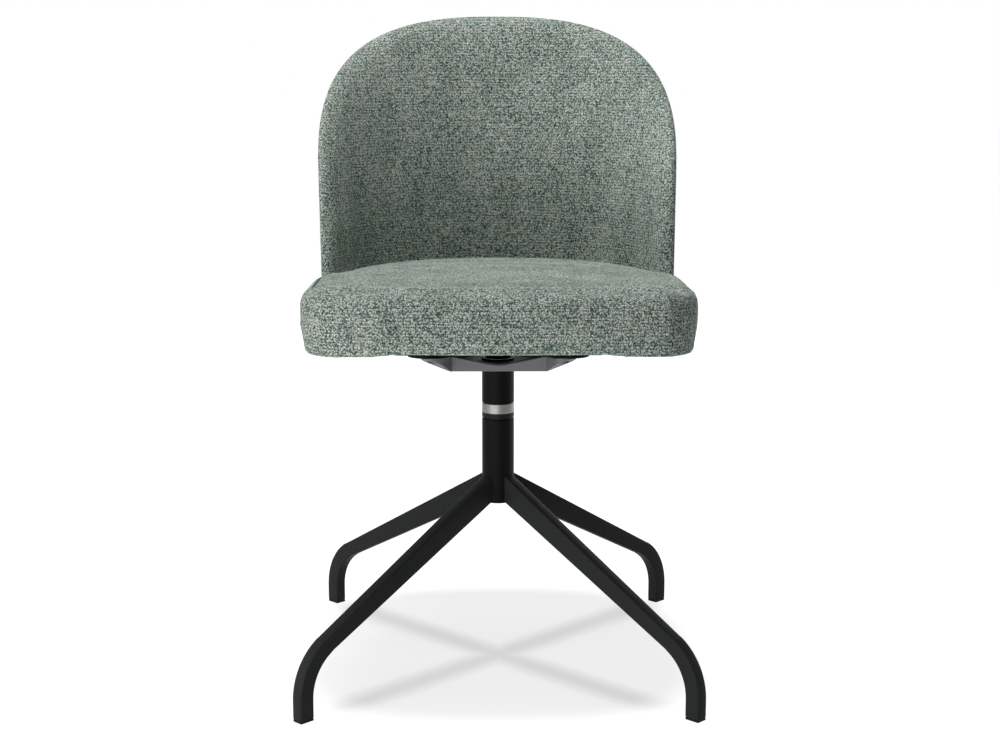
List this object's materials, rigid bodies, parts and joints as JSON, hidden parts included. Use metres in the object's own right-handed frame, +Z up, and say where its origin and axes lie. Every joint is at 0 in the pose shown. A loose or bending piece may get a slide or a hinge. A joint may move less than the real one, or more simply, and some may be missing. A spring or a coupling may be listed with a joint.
{
  "type": "swivel dining chair",
  "caption": "Upholstered tub-back dining chair whose seat turns freely on a slim column above a crossed base of bent flat legs.",
  "frame": {"origin": "the point where the swivel axis meets the floor, level with the undersides of the foot glides", "axes": "+Z up along the swivel axis, -Y towards the front of the seat at rest, +X towards the sitter's left, which is the right of a picture taken from the front"},
  "size_m": [0.4756, 0.5331, 0.809],
  "materials": {
    "black_steel": "satin dark grey powder coat",
    "black_tube": "satin black powder coat",
    "black_plastic": "matte black",
    "pale_plastic": "natural acetal",
    "turned_steel": "turned",
    "ring_steel": "brushed round the ring",
    "dark_fastener": "blackened",
    "zinc_fastener": "zinc plated",
    "grey_casting": "satin grey paint",
    "black_plate": "matte black paint",
    "black_board": "black-stained fibreboard",
    "plywood": "raw birch plywood",
    "black_cloth": "non-woven cloth",
    "grey_tweed": "woven grey-green tweed over foam"
  },
  "bodies": {
    "base": {"base_tube": "black_tube", "leg_front_left": "black_steel", "leg_front_right": "black_steel", "leg_rear_left": "black_steel", "leg_rear_right": "black_steel", "glide_front_left": "black_plastic", "glide_front_right": "black_plastic", "glide_rear_left": "black_plastic", "glide_rear_right": "black_plastic", "hub_cap": "black_plastic", "lower_bush": "pale_plastic", "upper_bush": "black_plastic"},
    "seat": {"spindle": "turned_steel", "retaining_washer": "zinc_fastener", "circlip": "dark_fastener", "swivel_ring": "ring_steel", "top_washer": "black_plastic", "upper_tube": "black_tube", "seat_bracket": "grey_casting", "mounting_plate": "black_plate", "spacer_board": "black_board", "bracket_screws": "dark_fastener", "dust_cover": "black_cloth", "seat_board": "plywood", "tee_nuts": "zinc_fastener", "seat_cushion": "grey_tweed", "back_brackets": "black_plate", "board_screws": "dark_fastener", "back_bolts": "dark_fastener", "shell_inserts": "zinc_fastener", "back_shell": "plywood", "back_outer_panel": "grey_tweed", "back_cushion": "grey_tweed"}
  },
  "joints": [
    {"name": "swivel", "type": "hinge", "parent": "base", "child": "seat", "pos_m": [0, 0, 0.3], "axis": [0, 0, 1], "continuous": true}
  ]
}
